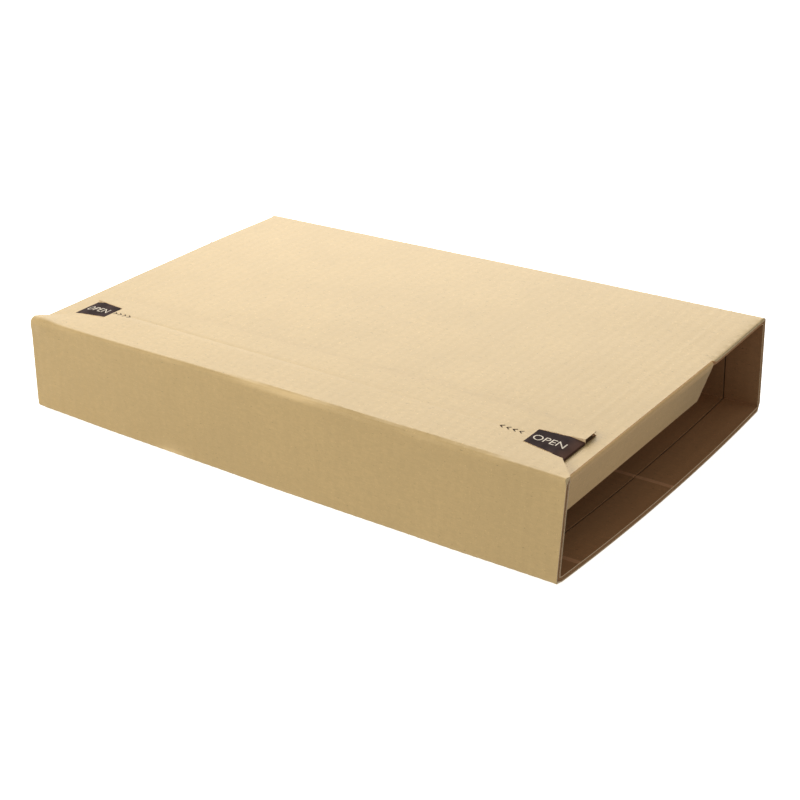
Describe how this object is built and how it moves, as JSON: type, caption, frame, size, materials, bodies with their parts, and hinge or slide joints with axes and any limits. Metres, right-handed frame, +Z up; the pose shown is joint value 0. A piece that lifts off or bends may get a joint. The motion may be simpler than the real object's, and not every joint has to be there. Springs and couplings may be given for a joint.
{
  "type": "book mailer box",
  "caption": "Long flat corrugated wrap for posting a book: glued closure flap with a tear strip on top, open ends with end flaps folded in.",
  "frame": {"origin": "middle of the underside, on the surface that the box stands on", "axes": "+X along the box to the right open end, +Y from the front wall to the back wall, +Z up through the top panel"},
  "size_m": [0.352, 0.216, 0.0582],
  "materials": {
    "kraft_board": "uncoated brown kraft corrugated board",
    "tab_ink": "matt near-black flexo ink on kraft liner",
    "tape_film": "thin translucent film tape",
    "adhesive": "pressed pale hot-melt band"
  },
  "bodies": {
    "wrap": {"folded_blank": "kraft_board", "tear_tape": "tape_film", "adhesive_strip": "adhesive"},
    "right_flap": {"right_end_flap": "kraft_board"},
    "left_flap": {"left_end_flap": "kraft_board"}
  },
  "joints": [
    {"name": "right_flap_fold", "type": "hinge", "parent": "wrap", "child": "right_flap", "pos_m": [0.1745, -0.02975, 0.0535], "axis": [0, 1, 0], "range_deg": [-105, 40]},
    {"name": "left_flap_fold", "type": "hinge", "parent": "wrap", "child": "left_flap", "pos_m": [-0.1745, -0.02975, 0.0535], "axis": [0, -1, 0], "range_deg": [-105, 40]}
  ]
}
